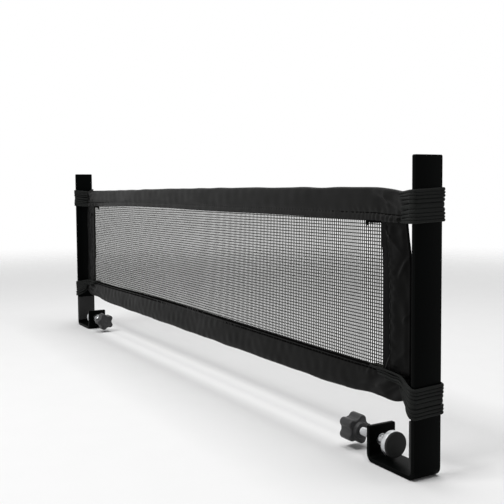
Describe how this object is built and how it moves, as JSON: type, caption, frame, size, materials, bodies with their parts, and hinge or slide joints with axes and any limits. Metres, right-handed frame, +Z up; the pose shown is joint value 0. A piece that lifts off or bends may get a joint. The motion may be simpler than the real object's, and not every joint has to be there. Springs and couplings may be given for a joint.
{
  "type": "table tennis net clamp set",
  "caption": "Small table tennis net with black bindings, tied by elastic cord to flat steel posts with screw clamps for a table's edge.",
  "frame": {"origin": "on the table top, under the middle of the net", "axes": "+X along the net towards the near post, +Y across the net, +Z up; the table top is at z = 0"},
  "size_m": [0.7044, 0.0264, 0.21],
  "materials": {
    "powder_coat": "satin black powder coat",
    "rubber": "matte black",
    "zinc_steel": "bright zinc plate",
    "spring_steel": "plain spring steel",
    "knob_plastic": "moulded black, satin",
    "cap_plastic": "moulded black, matte",
    "elastic_cord": "braided black cover",
    "leatherette": "satin black leatherette",
    "mesh_yarn": "knotless black mesh"
  },
  "bodies": {
    "net": {"near_post": "powder_coat", "near_jaw_liner": "rubber", "near_clamp_nut": "zinc_steel", "near_top_winding": "elastic_cord", "near_bottom_winding": "elastic_cord", "near_side_binding": "leatherette", "far_post": "powder_coat", "far_jaw_liner": "rubber", "far_clamp_nut": "zinc_steel", "far_top_winding": "elastic_cord", "far_bottom_winding": "elastic_cord", "far_side_binding": "leatherette", "net_mesh": "mesh_yarn", "top_binding": "leatherette", "bottom_binding": "leatherette", "top_cord": "elastic_cord", "bottom_cord": "elastic_cord"},
    "near_pad": {"near_pad_disc": "zinc_steel", "near_pad_face": "rubber"},
    "near_screw": {"near_clamp_screw": "zinc_steel", "near_pad_ring": "spring_steel", "near_knob": "knob_plastic", "near_knob_cap": "cap_plastic"},
    "far_pad": {"far_pad_disc": "zinc_steel", "far_pad_face": "rubber"},
    "far_screw": {"far_clamp_screw": "zinc_steel", "far_pad_ring": "spring_steel", "far_knob": "knob_plastic", "far_knob_cap": "cap_plastic"}
  },
  "joints": [
    {"name": "near_pad_travel", "type": "slide", "parent": "net", "child": "near_pad", "axis": [1, 0, 0], "range_m": [-0.008, 0.013]},
    {"name": "near_screw_turn", "type": "hinge", "parent": "near_pad", "child": "near_screw", "pos_m": [0.3, 0, -0.027], "axis": [1, 0, 0], "range_deg": [-2885, 4685]},
    {"name": "far_pad_travel", "type": "slide", "parent": "net", "child": "far_pad", "axis": [-1, 0, 0], "range_m": [-0.008, 0.013]},
    {"name": "far_screw_turn", "type": "hinge", "parent": "far_pad", "child": "far_screw", "pos_m": [-0.3, 0, -0.027], "axis": [-1, 0, 0], "range_deg": [-2885, 4685]}
  ],
  "couplings": [
    {"joint": "near_screw_turn", "follows": "near_pad_travel", "rad_per_m": 6283.2},
    {"joint": "far_screw_turn", "follows": "far_pad_travel", "rad_per_m": 6283.2}
  ]
}
